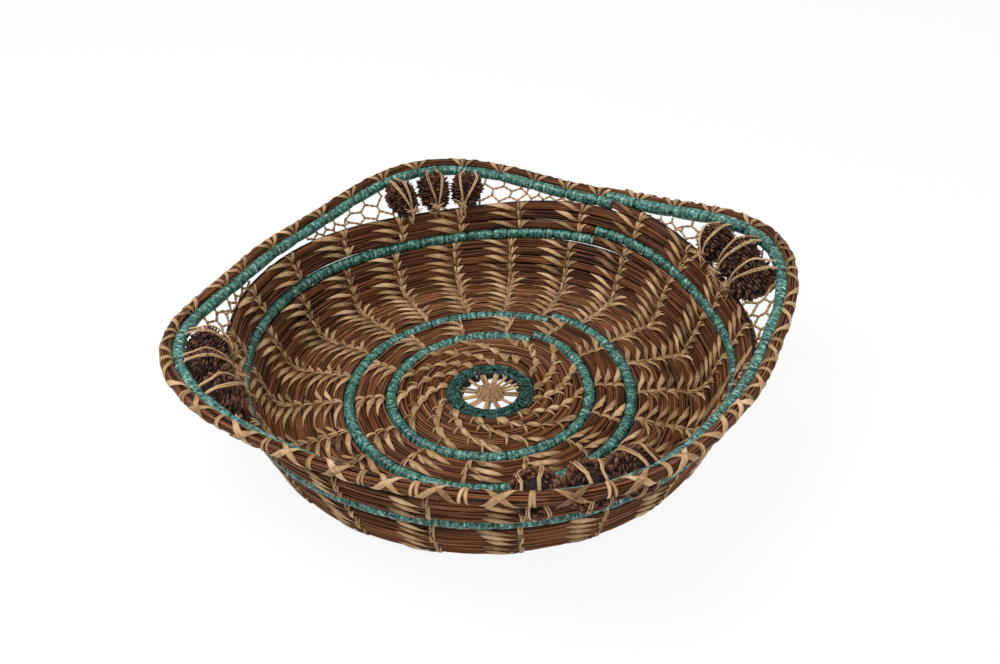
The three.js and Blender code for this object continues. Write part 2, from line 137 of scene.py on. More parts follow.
class Wire:
    """A shader socket. Arithmetic on it adds Math nodes."""

    def __init__(self, tree, socket=None):
        self.tree, self.socket = tree, socket

    def node(self, kind, settings=(), sockets=(), out=0):
        made = self.tree.nodes.new("ShaderNode" + kind)
        for key, value in dict(settings).items():
            if key == "stops":
                while len(made.color_ramp.elements) < len(value):
                    made.color_ramp.elements.new(1.0)
                for stop, (place, colour) in zip(made.color_ramp.elements, value):
                    stop.position, stop.color = place, colour
            else:
                setattr(made, key, value)
        for key, value in dict(sockets).items():
            if isinstance(value, Wire):
                self.tree.links.new(value.socket, made.inputs[key])
            else:
                made.inputs[key].default_value = value
        return Wire(self.tree, made.outputs[out])

    def feed(self, socket):
        self.tree.links.new(self.socket, socket)

    def maths(self, operation, first, second):
        return self.node("Math", {"operation": operation}, {0: first, 1: second})

    def __add__(self, other):
        return self.maths("ADD", self, other)

    def __sub__(self, other):
        return self.maths("SUBTRACT", self, other)

    def __rsub__(self, other):
        return self.maths("SUBTRACT", other, self)

    def __mul__(self, other):
        return self.maths("MULTIPLY", self, other)

    __radd__, __rmul__ = __add__, __mul__


def dye(red, green, blue):
    """Linear colour for the nodes from the 0-255 colour that the eye sees."""
    share = np.array([red, green, blue]) / 255
    linear = np.where(share <= 0.04045, share / 12.92, ((share + 0.055) / 1.055) ** 2.4)
    return (*linear.tolist(), 1.0)


def new_finish(name):
    finish = bpy.data.materials.new(name)
    finish.use_nodes = True
    return finish, Wire(finish.node_tree), finish.node_tree.nodes["Principled BSDF"]


def strip_shade(wire):
    """The shade that each strip was given when it was sewn in."""
    return wire.node("Attribute", {"attribute_name": "shade"}, out="Fac")


def strip_fibres(wire, stretch, roughness):
    """Fine fibres, stretched along or round each strip on its own UV map."""
    strip = wire.node("UVMap", {"uv_map": "strip"})
    stretched = wire.node("VectorMath", {"operation": "MULTIPLY"}, {0: strip, 1: stretch})
    return wire.node("TexNoise", {"noise_dimensions": "2D"},
                     {"Vector": stretched, "Scale": 1.0, "Detail": 4.0, "Roughness": roughness})


def blotches(wire, scale, roughness, detail=4.0):
    place = wire.node("TexCoord", out="Object")
    return wire.node("TexNoise", sockets={
        "Vector": place, "Scale": scale, "Detail": detail, "Roughness": roughness})


def dress(wire, shader, stops, tone, roughness, gloss, height, strength, depth=0.0003):
    """Give a finish its colours over tone, its roughness and gloss, and its fine relief."""
    colours = [(place, dye(*colour)) for place, colour in stops]
    wire.node("ValToRGB", {"stops": colours}, {"Fac": tone}).feed(shader.inputs["Base Color"])
    roughness.feed(shader.inputs["Roughness"])
    shader.inputs["Specular IOR Level"].default_value = gloss
    wire.node("Bump", sockets={"Height": height, "Strength": strength, "Distance": depth},
              out="Normal").feed(shader.inputs["Normal"])


def raffia_finish(name, stops, roughness, coat, grain=(7.0, 0.16, 1.0), speck=420.0, mottle_and_glints=0.55):
    """Raffia: each strip has its own shade, and fine fibres that grain stretches along or round it."""
    finish, wire, shader = new_finish(name)
    fibres, specks_and_glints = strip_fibres(wire, grain, roughness=0.62), blotches(wire, speck, roughness=0.65)
    # Speckles vary the colour at random; on the teal they are strong and reach the top stop as painted
    # glints.
    tone = strip_shade(wire) + (fibres - 0.5) * 0.8 + (specks_and_glints - 0.5) * mottle_and_glints
    dress(wire, shader, stops, tone, roughness=fibres * 0.35 + (roughness - 0.1), gloss=0.22,
          height=fibres + specks_and_glints, strength=0.6)
    shader.inputs["Coat Weight"].default_value = coat
    shader.inputs["Coat Roughness"].default_value = 0.18
    return finish


GREEN_RAFFIA = raffia_finish("green_raffia", GREEN_STOPS, roughness=0.34, coat=0.15)

rng = np.random.default_rng(seed=11)
strips = []
section = np.linspace(-0.5 * math.pi - RING_OVERLAP, 1.5 * math.pi + RING_OVERLAP, 17)
flat, high = np.cos(section), np.sin(section)
broad, tall = squared(section, RING_SQUARENESS)
# inner_side marks the ring's inner wall: it draws the foot in and carries painted shade there.
inner_side = np.clip(-1.6 * flat - 0.3, 0, 1)
for winding in range(RING_WINDINGS):
    angle = math.tau * (winding + rng.normal(0, 0.12)) / RING_WINDINGS + rng.normal(0, 0.03) * high
    reach = RING_MIDDLE + RING_HALF_WIDTH * (1 + rng.normal(0, 0.05)) * broad
    level = RING_LEVEL + RING_HALF_HEIGHT * (1 + rng.uniform(-0.14, 0.02)) * tall
    reach = reach - RING_FOOT * inner_side * (RING_LEVEL + RING_HALF_HEIGHT - level) / RING_HALF_HEIGHT
    points, face = around_axis(angle, reach, level), around_axis(angle, flat, high)
    width = math.tau * reach / RING_WINDINGS * WINDING_SPREAD
    # Painted shade: the windings are much darker on the ring's inner wall, where shade falls.
    shade = rng.uniform(*WINDING_SHADES) * (1 - 0.85 * inner_side)
    strips.append((ribbon(points, face, width, WINDING_THICKNESS), shade))
bow = np.linspace(0, 1, 7)
arch = np.sin(math.pi * bow)
for edge in (math.pi * share for share in EDGE_ROWS):
    for number in range(EDGE_STITCHES):
        angle = math.tau * (number + rng.normal(0, 0.16) + edge + EDGE_SPAN * bow) / EDGE_STITCHES
        tilt = edge + rng.normal(0, 0.07) + EDGE_SLANT * (bow - 0.3) * rng.choice([-1, 1])
        lift = 1.0 + (0.1 + 0.12 * rng.random()) * arch
        reach = RING_MIDDLE + RING_HALF_WIDTH * lift * np.cos(tilt)
        points = around_axis(angle, reach, RING_LEVEL + RING_HALF_HEIGHT * lift * np.sin(tilt))
        face = around_axis(angle, np.cos(tilt), np.sin(tilt))
        width = EDGE_ENDS + EDGE_SWELL * arch ** 0.5
        strips.append((ribbon(points, face, width, EDGE_THICKNESS), rng.uniform(*EDGE_SHADES)))
centre_ring = sewn_mesh("stitched_centre_ring", strips, GREEN_RAFFIA)
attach(centre_ring, "root")
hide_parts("centre_ring")


# Rosette: undyed raffia carried across the ring as twelve double spokes, with two strands woven round
# and round over and under them into a close disc. The spokes end in the ring's inner edge.
ROSETTE_RADIUS, ROSETTE_TURNS, ROSETTE_RISE = 7.5, 8.5, 1.3
WEAVE_START, WEAVE_REACH, WEAVE_LEVEL = 0.7, ROSETTE_RADIUS - 1.2, RING_LEVEL + 0.1
WEAVE_RATE, WEAVE_DEPTH, WEAVE_STRAND = 6.5, 0.5, 0.4
SPOKES, SPOKE_START, SPOKE_LENGTH, SPOKE_LEVEL = 12, 2.0, 12.9, RING_LEVEL + 0.25
SPOKE_ASIDE, SPOKE_CLIMB, SPOKE_WIDTH, SPOKE_THICKNESS, SPOKE_SHADES = 0.5, 0.9, 1.5, 0.5, (0.2, 0.6)
UPRIGHT = np.array([0.0, 0.0, 1.0])
NATURAL_STOPS = ((0.0, (50, 33, 19)), (0.3, (120, 91, 61)), (0.6, (172, 138, 99)), (1.0, (217, 186, 148)))

NATURAL_RAFFIA = raffia_finish("natural_raffia", NATURAL_STOPS, roughness=0.55, coat=0.0)


def tube(points, side, face, radius, sides):
    turned = (np.arange(sides) * math.tau / sides)[None, :, None]
    return points[:, None] + radius * (side[:, None] * np.cos(turned) + face[:, None] * np.sin(turned))


def strand_sides(points):
    """Two directions across a strand that follows points."""
    along = unit(np.gradient(points, axis=0))
    side = unit(np.cross(along, [0.13, 0.21, 0.97]))
    return side, np.cross(side, along)


def cord_rings(points, radius, sides=6):
    """Rings round a round strand that follows points."""
    radius = np.broadcast_to(radius, len(points))[:, None, None]
    return tube(points, *strand_sides(points), radius, sides)


rng = np.random.default_rng(seed=12)
strips = []
for strand in range(2):
    turn = np.linspace(0, math.tau * ROSETTE_TURNS, 420)
    reach = WEAVE_START + WEAVE_REACH * turn / turn[-1]
    level = WEAVE_LEVEL + WEAVE_DEPTH * np.cos(WEAVE_RATE * turn + math.pi * strand)
    level = level + ROSETTE_RISE * (1 - (reach / ROSETTE_RADIUS) ** 2)
    points = around_axis(turn + math.pi * strand, reach, level)
    rings = cord_rings(points, WEAVE_STRAND + 0.06 * np.sin(turn * 3.1))
    strips.append((rings, 0.5 + 0.2 * np.sin(WEAVE_RATE * turn + strand)))
out = np.linspace(0, 1, 9)
for spoke in range(SPOKES):
    for twin in (-1, 1):
        reach = SPOKE_START + SPOKE_LENGTH * out
        angle = math.tau * (spoke + 0.5) / SPOKES + rng.normal(0, 0.05)
        aside = twin * (SPOKE_ASIDE + 0.2 * out) + rng.normal(0, 0.1)
        level = SPOKE_LEVEL + SPOKE_CLIMB * out ** 2 + 0.5 * np.maximum(0, out - 0.8) * twin
        points = np.stack([reach * math.cos(angle) - aside * math.sin(angle),
                           reach * math.sin(angle) + aside * math.cos(angle), level], -1)
        rings = ribbon(points, UPRIGHT, SPOKE_WIDTH + 0.5 * out, SPOKE_THICKNESS)
        strips.append((rings, rng.uniform(*SPOKE_SHADES)))
rosette = sewn_mesh("woven_rosette", strips, NATURAL_RAFFIA)
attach(rosette, "root")
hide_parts("centre_rosette")


# Floor coil: a bundle of dried pine needles about five millimetres thick, fed with new needles as it
# runs out, wound flat from the centre ring. Each row steps out to the next near the seam.
SEAM, SEAM_DRIFT, STEP = math.radians(93), math.radians(0.31), 1 / 6
FIRST_ROW, ROW_PITCH, WRAP_PITCH, LAST_PITCH = 23.28, 4.65, 5.23, 4.95
FLOOR_RADIUS, BEND_RADIUS, WALL_TILT, WALL_SWELL = 94.1, 10.0, math.radians(70), 0.055
CORNER_ANGLES = np.radians([41.5, 131.0, 228.7, 313.5])
COIL_LEVEL, SIT, WRAP_LIFT = 1.68, 1.1, 0.35
WRAPPED_ROWS, FLOOR_WRAPS, WALL_WRAP, TOP_ROW = (5, 9, 22), (5, 9), 22, 25
SLOW_WAVER, QUICK_WAVER = (0.13, 3.37, 0), (0.1, 8.23, 1)
BUNDLE_EDGE, BUNDLE_SQUARENESS, CORE_HALF_WIDTH, CORE_HALF_HEIGHT = 2.42, 0.8, 3.0, 1.5
NEEDLES, NEEDLE_RADIUS, NEEDLE_SINK, NEEDLE_STEP, NEEDLE_POINT = 24, 0.34, 0.08, 5.4, 12
NEEDLE_WAVES, NEEDLE_WANDER = np.array([0.021, 0.047, 0.11]), np.array([0.15, 0.1, 0.16])
FIRST_LENGTHS, NEEDLE_LENGTHS, NEEDLE_SHADE = (30, 190), (90, 220), (0.45, 0.15)
FLOOR_STRETCHES, START_TAPER = ((-0.17, 5.015), (5.985, 9.01), (9.99, 10.0)), (14, 0, 0)
NEEDLE_STOPS = ((0.0, (16, 6, 1)), (0.25, (64, 33, 14)), (0.5, (107, 66, 39)), (0.75, (142, 93, 58)),
                (1.0, (178, 130, 90)))


def smooth(value, low, high):
    share = np.clip((np.asarray(value, float) - low) / (high - low), 0, 1)
    return share * share * (3 - 2 * share)


def swelling(turn, low, high):
    return smooth(turn, low - STEP, low) * (1 - smooth(turn, high, high + STEP))


def row_place(turn):
    """How far out a turn of the coil lies, measured along the bowl's profile."""
    rows = np.floor(turn)
    part = turn - rows
    place = FIRST_ROW + ROW_PITCH * (smooth(part, 1 - STEP, 1) + np.minimum(rows, 0))
    for row in range(TOP_ROW + 1):
        wrap = np.max([swelling(part + row, ring - 1, ring + 1) for ring in WRAPPED_ROWS], axis=0)
        spacing = ROW_PITCH + (WRAP_PITCH - ROW_PITCH) * wrap
        spacing = spacing + (LAST_PITCH - ROW_PITCH) * smooth(part + row, TOP_ROW - STEP, TOP_ROW)
        place = place + np.where(row < rows, spacing, 0)
    return place


def from_corners(angle):
    """Angles from each corner to a place on the wall, the short way round."""
    return (np.asarray(angle, float)[..., None] - CORNER_ANGLES + math.pi) % math.tau - math.pi


def bowl_profile(place, aside):
    """Radius, height and lean of the bowl, at an angle aside from its nearest corner."""
    past = np.maximum(0, place - FLOOR_RADIUS)
    tilt = np.minimum(past / BEND_RADIUS, WALL_TILT)
    swell = 1 - WALL_SWELL * np.cos(4 * aside)
    straight = np.maximum(0, past - BEND_RADIUS * WALL_TILT) * swell
    radius = np.minimum(place, FLOOR_RADIUS) + BEND_RADIUS * np.sin(tilt) + straight * np.cos(tilt)
    return radius, COIL_LEVEL + BEND_RADIUS * (1 - np.cos(tilt)) + straight * np.sin(tilt), tilt


def waver(turn, size, waves, phase):
    """How far a coil wanders aside, since no bundle is sewn quite even."""
    return size * np.sin(math.tau * waves * turn + phase)


def coil_line(turn):
    """Middle of the coil at each turn, with the directions to the next row and into the bowl."""
    turn = np.asarray(turn, float)
    angle = SEAM + (math.tau - SEAM_DRIFT) * turn
    radius, height, tilt = bowl_profile(row_place(turn), np.abs(from_corners(angle)).min(-1))
    wrap = np.max([swelling(turn, row, row + 1) for row in FLOOR_WRAPS], axis=0)
    lift = WRAP_LIFT * wrap + SIT * np.cos(tilt)
    aside = waver(turn, *SLOW_WAVER) + waver(turn, *QUICK_WAVER)
    centre = around_axis(angle, radius + aside * np.cos(tilt), height + lift + aside * np.sin(tilt))
    onward = around_axis(angle, np.cos(tilt), np.sin(tilt))
    return centre, onward, around_axis(angle, -np.sin(tilt), np.cos(tilt))


def even_turns(line, start, end, step):
    """Turn numbers that lie the same distance apart along a coil."""
    fine = np.linspace(start, end, int((end - start) * 240) + 2)
    run = length_along(line(fine)[0])
    return np.interp(np.linspace(0, run[-1], max(int(run[-1] / step), 2) + 1), run, fine)


def bundle_edge(angle, size):
    """Place on the coil's section, which the sewing pulls a little square."""
    flat, high = squared(angle, BUNDLE_SQUARENESS)
    return size * flat, size * high


def needle_bundle(line, start, end, rng, thin_start=0.0, thin_end=0.0, least=0.3,
                  core=CORE_HALF_WIDTH, edge=17):
    """Strips for the needles of a stretch of coil, round a core in painted shade that fills their gaps."""
    turn = even_turns(line, start, end, NEEDLE_STEP)
    centre, across, up = line(turn)
    run = length_along(centre)
    size = np.ones(len(run))
    if thin_start:
        size *= least + (1 - least) * smooth(run, 0, thin_start)
    if thin_end:
        size *= least + (1 - least) * (1 - smooth(run, run[-1] - thin_end, run[-1]))

    def strand(here, aside, rise, radius):
        turned = np.arange(4) * 0.5 * math.pi + np.arctan2(rise, aside)[:, None]
        flat = (aside * size[here])[:, None] + radius[:, None] * np.cos(turned)
        high = (rise * size[here])[:, None] + radius[:, None] * np.sin(turned)
        return centre[here, None] + across[here, None] * flat[..., None] + up[here, None] * high[..., None]

    turned = np.arange(8)[:, None] * 0.25 * math.pi
    section = across[:, None] * core * np.cos(turned) + up[:, None] * CORE_HALF_HEIGHT * np.sin(turned)
    # The core takes shade 0.0, the darkest stop: painted shade seen in the gaps between the needles.
    strips = [(centre[:, None] + size[:, None, None] * section, 0.0)]
    for slot in range(NEEDLES):
        waves = rng.uniform(0.7, 1.3, 3) * NEEDLE_WAVES
        phase = rng.uniform(0, math.tau, 3)
        slow, quick, bob = NEEDLE_WANDER[:, None] * np.sin(waves[:, None] * run + phase[:, None])
        half, place = divmod(slot, NEEDLES // 2)
        angle = math.pi * half + math.radians(edge + (180 - 2 * edge) * place / (NEEDLES // 2 - 1))
        angle = angle + slow + quick
        depth = BUNDLE_EDGE - NEEDLE_RADIUS - NEEDLE_SINK + bob
        first, reach = 0, rng.uniform(*FIRST_LENGTHS)
        while first < len(run) - 1:
            last = min(int(np.searchsorted(run, reach)) + 2, len(run))
            if len(run) - last < 3:
                last = len(run)
            here = slice(first, last)
            ends = np.minimum(smooth(run[here], run[first], run[first] + NEEDLE_POINT),
                              1 - smooth(run[here], run[last - 1] - NEEDLE_POINT, run[last - 1]))
            aside, rise = bundle_edge(angle[here], depth[here] - 0.4 * (1 - ends))
            shade = np.clip(rng.normal(*NEEDLE_SHADE), 0.02, 1.0)
            thick = NEEDLE_RADIUS * rng.uniform(0.85, 1.15) * (0.4 + 0.6 * ends)
            strips.append((strand(here, aside, rise, thick), shade))
            first = max(last - 3, first + 1) if last < len(run) else last
            reach += rng.uniform(*NEEDLE_LENGTHS)
    return strips


PINE_NEEDLES, wire, shader = new_finish("pine_needles")
grain = strip_fibres(wire, (4.0, 0.06, 1.0), roughness=0.6)
patches = blotches(wire, 38.0, roughness=0.55, detail=3.0)
tone = strip_shade(wire) + (grain - 0.5) * 0.6 + (patches - 0.5) * 0.4
dress(wire, shader, NEEDLE_STOPS, tone, roughness=grain * 0.25 + 0.4, gloss=0.15, height=grain, strength=0.35)

rng = np.random.default_rng(seed=13)
strips = []
for (start, end), taper in zip(FLOOR_STRETCHES, START_TAPER):
    strips += needle_bundle(coil_line, start, end, rng, thin_start=taper)
floor_needles = sewn_mesh("floor_needle_rows", strips, PINE_NEEDLES)
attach(floor_needles, "root")
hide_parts("needle_coil_floor")


# Wrapped rows of the floor: two single rows covered with teal raffia wound close round the needles.
# Every few windings one is pulled down tight to the row before it, its groove darkened as painted shade.
WRAP_RADIUS, WRAP_SINK, WRAP_SIDES, WRAP_STEP, LEAD_IN, PAST_END = 2.62, 0.12, 12, 0.26, 2, 9.0
PULL_GAPS, PULL_WIDTH, PULL_DEPTH, PULL_PAINTED_SHADE = (7, 15), 0.4, 0.25, 0.85
STRAND_WIDTHS, STRAND_SHADE, STRAND_CROWNS, CROWN_HEIGHT = (0.55, 1.0), (0.47, 0.09), (0.4, 1.2), 0.07
STRAND_SLANT, STRAND_STRAY = 0.35, 0.25
# The near-white top stop is a painted glint, brought out in small speckles by the strong noise.
TEAL_STOPS = ((0.0, (4, 17, 14)), (0.25, (24, 61, 53)), (0.5, (59, 109, 98)), (0.78, (122, 173, 161)),
              (1.0, (218, 244, 236)))

TEAL_RAFFIA = raffia_finish("teal_raffia", TEAL_STOPS, roughness=0.34, coat=0.2, grain=(1.6, 1.5, 1.0),
                            speck=700.0, mottle_and_glints=2.0)


def wound_wrap(line, start, end, rng, turns, radii, tight=(), puff=0.2):
    """Strip for a raffia winding, as thick as radii say at turns, and drawn in at its tight windings."""
    turn = even_turns(line, start, end, WRAP_STEP)
    centre, across, up = line(turn)
    run = length_along(centre)
    if len(tight):
        pulls = np.interp(tight, turn, run)
    else:
        pulls = np.cumsum(rng.uniform(*PULL_GAPS, int(run[-1] / PULL_GAPS[0])))
    pulls = np.concatenate([[-PAST_END], pulls[pulls < run[-1] - 2], [run[-1] + PAST_END]])
    widths = rng.uniform(*STRAND_WIDTHS, int(run[-1] / STRAND_WIDTHS[0]) + 12)
    shades = np.clip(rng.normal(*STRAND_SHADE, len(widths)), 0.2, 0.85)
    crowns = rng.uniform(*STRAND_CROWNS, len(widths))
    edges = np.cumsum(widths)
    turned = np.arange(WRAP_SIDES) * math.tau / WRAP_SIDES
    place = run[:, None] + STRAND_SLANT * np.cos(turned - 0.6)
    place = place + STRAND_STRAY * np.sin(run / 5)[:, None] * np.cos(turned + 1)
    number = np.searchsorted(edges, place + LEAD_IN)
    crown = np.sin(math.pi * np.clip((edges[number] - place - LEAD_IN) / widths[number], 0.02, 0.98))
    ahead = np.clip(np.searchsorted(pulls, place), 1, len(pulls) - 1)
    since, until = place - pulls[ahead - 1], pulls[ahead] - place
    slack = np.sin(math.pi * np.clip(since / (since + until), 0, 1)) ** 0.6
    pull = np.exp(-(np.minimum(since, until) / PULL_WIDTH) ** 2)
    reach = np.interp(turn, turns, radii)[:, None] - WRAP_SINK + puff * slack
    reach = reach + CROWN_HEIGHT * crowns[number] * crown ** 0.6 - PULL_DEPTH * pull
    # Painted shade: each winding is darker towards its edges, in the creases, and darkest in the pulled
    # grooves.
    shade = shades[number] * (0.6 + 0.4 * crown ** 0.4) * (1 - PULL_PAINTED_SHADE * pull)
    return tube(centre, across, up, reach[..., None], WRAP_SIDES), shade


for number, row in enumerate(FLOOR_WRAPS, start=1):
    rng = np.random.default_rng(seed=20 + row)
    winding = wound_wrap(coil_line, row, row + 1, rng, [row], [WRAP_RADIUS])
    wrap = sewn_mesh(f"teal_row_{number}", [winding], TEAL_RAFFIA)
    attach(wrap, "root")
    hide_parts(f"ring_wrap_{number}")


# Floor stitches: undyed raffia that sews each row to the one before it. Between the centre ring and
# the first teal row they swirl in broad short leaves, and between the teal rows in long slender ones.
INNER_COLUMNS, INNER_ROWS, INNER_SWIRL = 13, range(FLOOR_WRAPS[0]), math.radians(10.5)
MIDDLE_COLUMNS, MIDDLE_ROWS, MIDDLE_FIRST = 14, range(FLOOR_WRAPS[0] + 1, FLOOR_WRAPS[1]), math.radians(5)
SKIN, STITCH_THICKNESS, STITCH_SHADE = BUNDLE_EDGE + 0.08, 0.36, (0.58, 0.15)
INNER_REACHES, INNER_SECOND_REACHES, INNER_STRAND_REACH = (1.05, 1.4), (0.6, 1.0), 1.15
MIDDLE_REACHES, MIDDLE_SECOND_REACHES, MIDDLE_BELOW = (13, 16.5), (6, 9), 4.0
INNER_LEAF = dict(width=3.2, low=172, high=20, lift=0.3, leaf=True)
INNER_SECOND_LEAF = dict(width=2.2, low=168, high=35, lift=0.45, leaf=True)
MIDDLE_LEAF = dict(width=2.5, low=166, high=28, lift=0.2, leaf=True, steps=12)
MIDDLE_SECOND_LEAF = dict(width=2.0, low=165, high=45, lift=0.25, leaf=True)
STITCH_BELOW = dict(width=1.8, low=190, high=348, lift=0.02)


def at_angle(row, angle):
    """Turn number of a place on a row."""
    part = (angle - SEAM + SEAM_DRIFT * row) % math.tau / (math.tau - SEAM_DRIFT)
    return row + np.minimum(part, 1 - 1e-9)


def stitch(rng, turn, drift, width, low=180.0, high=0.0, lift=0.12, leaf=False, line=coil_line, steps=8):
    """Strip of raffia over one row from section angle low to high, drifting so many mm along the row.
    A leaf runs out to a point on the row's face."""
    share = np.linspace(0, 1, steps)
    section = np.radians(low + (high - low) * (share ** 0.65 if leaf else share))
    radius = np.linalg.norm(line(np.array([turn]))[0][0][:2])
    centre, across, up = line(turn + drift * share / (math.tau * radius))
    aside, rise = bundle_edge(section, SKIN + lift * np.sin(math.pi * share))
    points = centre + across * aside[:, None] + up * rise[:, None]
    face = across * np.cos(section)[:, None] + up * np.sin(section)[:, None]
    bud = np.clip(np.sin(math.pi * (0.12 + 0.88 * share ** 1.2)), 0, 1) ** 0.8
    shape = bud if leaf else 0.6 + 0.4 * np.sin(math.pi * share)
    rings = ribbon(points, face, 0.12 + width * shape * rng.uniform(0.85, 1.15), STITCH_THICKNESS)
    # Painted shade: each stitch is darker towards its start, where it comes out from between the rows.
    return rings, np.clip(rng.normal(*STITCH_SHADE), 0.15, 1.0) * (0.78 + 0.22 * share)


rng = np.random.default_rng(seed=14)
strips = []
for column in range(INNER_COLUMNS):
    angle = math.tau * (column + rng.normal(0, 0.06)) / INNER_COLUMNS
    for row in INNER_ROWS:
        turn = at_angle(row, angle)
        radius = FIRST_ROW + ROW_PITCH * row
        swirl = INNER_SWIRL * radius
        mm_on = 1 / (math.tau * radius)
        strips.append(stitch(rng, turn, swirl * rng.uniform(*INNER_REACHES), **INNER_LEAF))
        drift = swirl * rng.uniform(*INNER_SECOND_REACHES)
        strips.append(stitch(rng, turn + 1.5 * mm_on, drift, **INNER_SECOND_LEAF))
        strips.append(stitch(rng, turn + 0.9 * mm_on, swirl * INNER_STRAND_REACH, width=0.9))
        strips.append(stitch(rng, turn + 0.4 * mm_on, rng.uniform(-1.8, 0.8), width=1.1))
        strips.append(stitch(rng, turn, swirl, **STITCH_BELOW))
        angle += INNER_SWIRL * rng.uniform(0.9, 1.1)
for column in range(MIDDLE_COLUMNS):
    angle = MIDDLE_FIRST + math.tau * (column + rng.normal(0, 0.04)) / MIDDLE_COLUMNS
    for row in MIDDLE_ROWS:
        turn = at_angle(row, angle)
        strips.append(stitch(rng, turn, rng.uniform(-2.2, -1.0), width=1.2))
        strips.append(stitch(rng, turn, rng.uniform(-0.4, 1.0), width=1.1))
        strips.append(stitch(rng, turn, rng.uniform(*MIDDLE_REACHES), **MIDDLE_LEAF))
        strips.append(stitch(rng, turn, rng.uniform(*MIDDLE_SECOND_REACHES), **MIDDLE_SECOND_LEAF))
        strips.append(stitch(rng, turn, MIDDLE_BELOW, **STITCH_BELOW))
        angle += rng.normal(-0.008, 0.01)
floor_stitches = sewn_mesh("floor_stitches", strips, NATURAL_RAFFIA)
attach(floor_stitches, "root")


# Wall coil: the same needle bundle carries on out past the second teal row, turns up through a round
# bend and leans outwards up the wall. Its last row ends where the rim begins.
LOWER_STRETCH, UPPER_STRETCH, BAND_STRETCH = (10.0, 16.02), (15.98, 22.008), (22.992, 26.0)
UPPER_CORE, BAND_CORE, BAND_EDGE, BAND_TAPER = 2.75, 2.72, 6, 12

rng = np.random.default_rng(seed=15)
strips = needle_bundle(coil_line, *LOWER_STRETCH, rng)
wall_needles = sewn_mesh("wall_needle_rows", strips, PINE_NEEDLES)
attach(wall_needles, "root")
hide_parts("needle_coil_wall")

strips = needle_bundle(coil_line, *UPPER_STRETCH, rng, core=UPPER_CORE)
upper_needles = sewn_mesh("upper_wall_needle_rows", strips, PINE_NEEDLES)
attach(upper_needles, "root")

strips = needle_bundle(coil_line, *BAND_STRETCH, rng, thin_end=BAND_TAPER, core=BAND_CORE, edge=BAND_EDGE)
band_needles = sewn_mesh("band_needle_rows", strips, PINE_NEEDLES)
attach(band_needles, "root")


# Wrapped row of the wall: one more row in teal raffia, three rows under the wall's top edge, wound
# in the same way as those of the floor, and a little fuller.
WALL_WRAP_RADIUS = WRAP_RADIUS + 0.12

rng = np.random.default_rng(seed=42)
winding = wound_wrap(coil_line, WALL_WRAP, WALL_WRAP + 1, rng, [WALL_WRAP], [WALL_WRAP_RADIUS])
wrap = sewn_mesh("teal_row_3", [winding], TEAL_RAFFIA)
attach(wrap, "root")
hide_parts("ring_wrap_3")


# Wall stitches: twenty-one columns of undyed raffia up the inside. On every row a short forked stitch
# makes the spine and a long leaf runs back along the row, and the same strands show outside.
WALL_COLUMNS, FIRST_COLUMN = 21, math.radians(7.2)
WALL_ROWS, BAND_ROWS = range(FLOOR_WRAPS[1] + 1, WALL_WRAP), range(WALL_WRAP + 1, TOP_ROW + 1)
TWO_LEAF_ROWS, STEEP_ROW, FREE_ROW, BROAD_ROW = (11, 12, 15, 16), 13, 17, 15
BAND_SHIFT, OUTSIDE_SHIFT = math.radians(-2), math.radians(4.4)
WALL_SPINE, BAND_SPINE, OUTSIDE_SPINE = (-2.6, -0.5, 1.0), (-2.8, -0.5, 1.0), (-0.9, 0.7)
OUTSIDE_STITCH = dict(width=1.0, low=185, high=355)
WALL_REACHES, WALL_LEAF_WIDTHS, REACH_GROWTH = (14.5, 18), (2.1, 2.9), 0.2
BAND_REACHES, BAND_LEAF_WIDTHS = (15, 19), (2.2, 3.0)
BACK_REACHES, BARB_REACHES, OUTSIDE_REACHES = (-11, -8), (-6, -3.5), (-16, -12)
WALL_LEAF = dict(low=170, high=20, lift=0.2, leaf=True, steps=12)
BACK_LEAF = dict(width=1.9, low=158, high=36, lift=0.2, leaf=True, steps=9)
BACK_BARB = dict(low=160, high=25, lift=0.2, leaf=True)
BAND_LEAF = dict(low=168, high=22, lift=0.2, leaf=True, steps=13)
OUTSIDE_LEAF = dict(low=205, high=315, leaf=True, steps=12)


def spine(rng, turn, drifts, widths):
    """Short stitches that start in one place on a row and fork."""
    return [stitch(rng, turn, drift + rng.normal(0, 0.4), rng.uniform(*widths)) for drift in drifts]


for column in range(WALL_COLUMNS):
    rng = np.random.default_rng(seed=100 + column)
    strips = []
    angle = FIRST_COLUMN + math.tau * (column + rng.normal(0, 0.025)) / WALL_COLUMNS
    for row in WALL_ROWS:
        turn = at_angle(row, angle + rng.normal(0, 0.004))
        strips += spine(rng, turn, WALL_SPINE, (0.7, 1.0))
        reach = rng.uniform(*WALL_REACHES) + REACH_GROWTH * max(row - STEEP_ROW, 0)
        strips.append(stitch(rng, turn, reach, rng.uniform(*WALL_LEAF_WIDTHS), **WALL_LEAF))
        if row in TWO_LEAF_ROWS:
            strips.append(stitch(rng, turn, rng.uniform(*BACK_REACHES), **BACK_LEAF))
        else:
            strips.append(stitch(rng, turn, rng.uniform(*BARB_REACHES), width=1.1, **BACK_BARB))
    column_stitches = sewn_mesh(f"wall_stitches_{column + 1}", strips, NATURAL_RAFFIA)
    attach(column_stitches, "root")
    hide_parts(f"stitch_column_{column + 1}")

